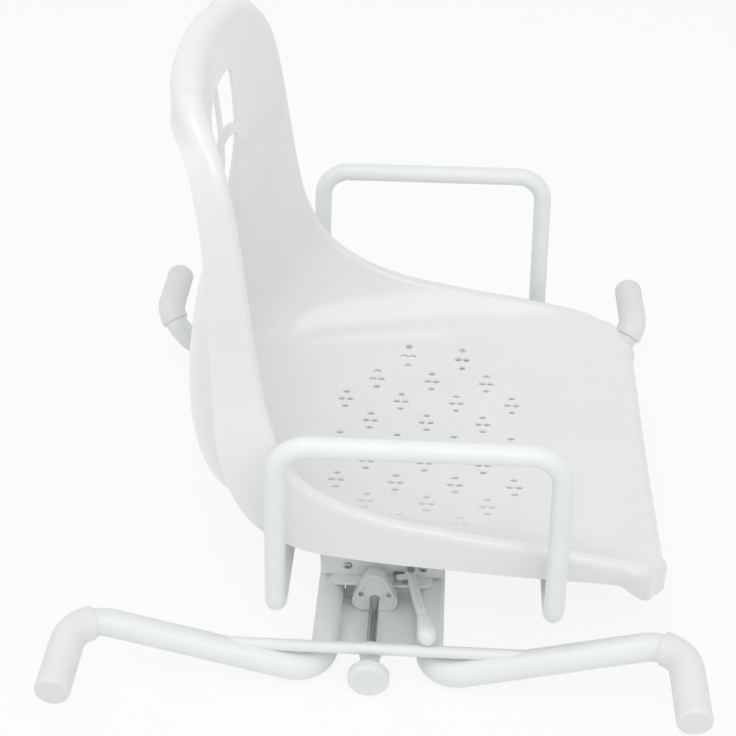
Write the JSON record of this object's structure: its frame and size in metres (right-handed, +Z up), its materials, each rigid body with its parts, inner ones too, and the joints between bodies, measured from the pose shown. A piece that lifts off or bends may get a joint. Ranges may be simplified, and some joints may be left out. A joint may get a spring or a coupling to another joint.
{
  "type": "swivel bath seat",
  "caption": "Moulded bucket seat with two tube armrests on a lockable turntable, carried by a bent tube frame that hangs between the rims of a bath.",
  "frame": {"origin": "on the swivel axis, level with the lowest face of the frame", "axes": "+X towards the sitter's knees, +Y across the bath to the sitter's left, +Z up"},
  "size_m": [0.632, 0.73, 0.5701],
  "materials": {
    "frame_paint": "white powder coat, satin",
    "armrest_paint": "white powder coat, satin",
    "rim_sleeve": "off-white, soft matt",
    "plate_paint": "light grey powder coat",
    "seat_plastic": "white moulding, glossy",
    "fitting_plastic": "white moulding, satin",
    "bearing_nylon": "natural nylon",
    "rod_chrome": "bright plated",
    "fastener_steel": "zinc plated"
  },
  "bodies": {
    "frame": {"rear_frame_tube": "frame_paint", "near_rear_sleeve": "rim_sleeve", "far_rear_sleeve": "rim_sleeve", "front_frame_tube": "frame_paint", "near_front_sleeve": "rim_sleeve", "far_front_sleeve": "rim_sleeve", "near_cross_bar": "frame_paint", "far_cross_bar": "frame_paint", "tray": "plate_paint", "base_plate": "plate_paint", "turntable_housing": "plate_paint", "housing_screw_1": "fastener_steel", "housing_screw_2": "fastener_steel", "lower_race": "bearing_nylon", "base_washer": "bearing_nylon", "pivot_bolt": "fastener_steel", "pivot_washer": "bearing_nylon", "pivot_nut": "fastener_steel", "bolt_bridge": "plate_paint", "rod_guide": "fitting_plastic", "guide_screw_1": "fastener_steel", "guide_screw_2": "fastener_steel", "lever_pivot_screw": "fastener_steel", "lever_spring": "fastener_steel"},
    "seat": {"index_plate": "fastener_steel", "spindle": "bearing_nylon", "upper_race": "bearing_nylon", "seat_carrier": "plate_paint", "near_armrest": "armrest_paint", "far_armrest": "armrest_paint", "arm_screw_1": "fastener_steel", "arm_screw_2": "fastener_steel", "arm_screw_3": "fastener_steel", "arm_screw_4": "fastener_steel", "seat_spacer_1": "bearing_nylon", "seat_spacer_2": "bearing_nylon", "seat_spacer_3": "bearing_nylon", "seat_spacer_4": "bearing_nylon", "seat_screw_1": "fastener_steel", "seat_screw_2": "fastener_steel", "seat_screw_3": "fastener_steel", "seat_screw_4": "fastener_steel", "seat_shell": "seat_plastic"},
    "lever": {"lever_arm": "frame_paint", "lever_knob": "fitting_plastic"},
    "lock_bolt": {"lock_bolt": "fastener_steel"},
    "stop": {"stop_rod": "rod_chrome", "stop_pad": "fitting_plastic", "stop_pin": "fastener_steel"}
  },
  "joints": [
    {"name": "seat_swivel", "type": "hinge", "parent": "frame", "child": "seat", "pos_m": [0, 0, 0.06], "axis": [0, 0, 1], "continuous": true},
    {"name": "lever_turn", "type": "hinge", "parent": "frame", "child": "lever", "pos_m": [0.031, -0.1585, 0.045], "axis": [0, 0, -1], "range_deg": [0, 30]},
    {"name": "lock_bolt_slide", "type": "slide", "parent": "frame", "child": "lock_bolt", "axis": [0, 1, 0], "range_m": [0, 0.00673]},
    {"name": "stop_slide", "type": "slide", "parent": "frame", "child": "stop", "axis": [0, -1, 0], "range_m": [0, 0.036]}
  ],
  "couplings": [
    {"joint": "lock_bolt_slide", "follows": "lever_turn", "m_per_rad": 0.012852}
  ]
}
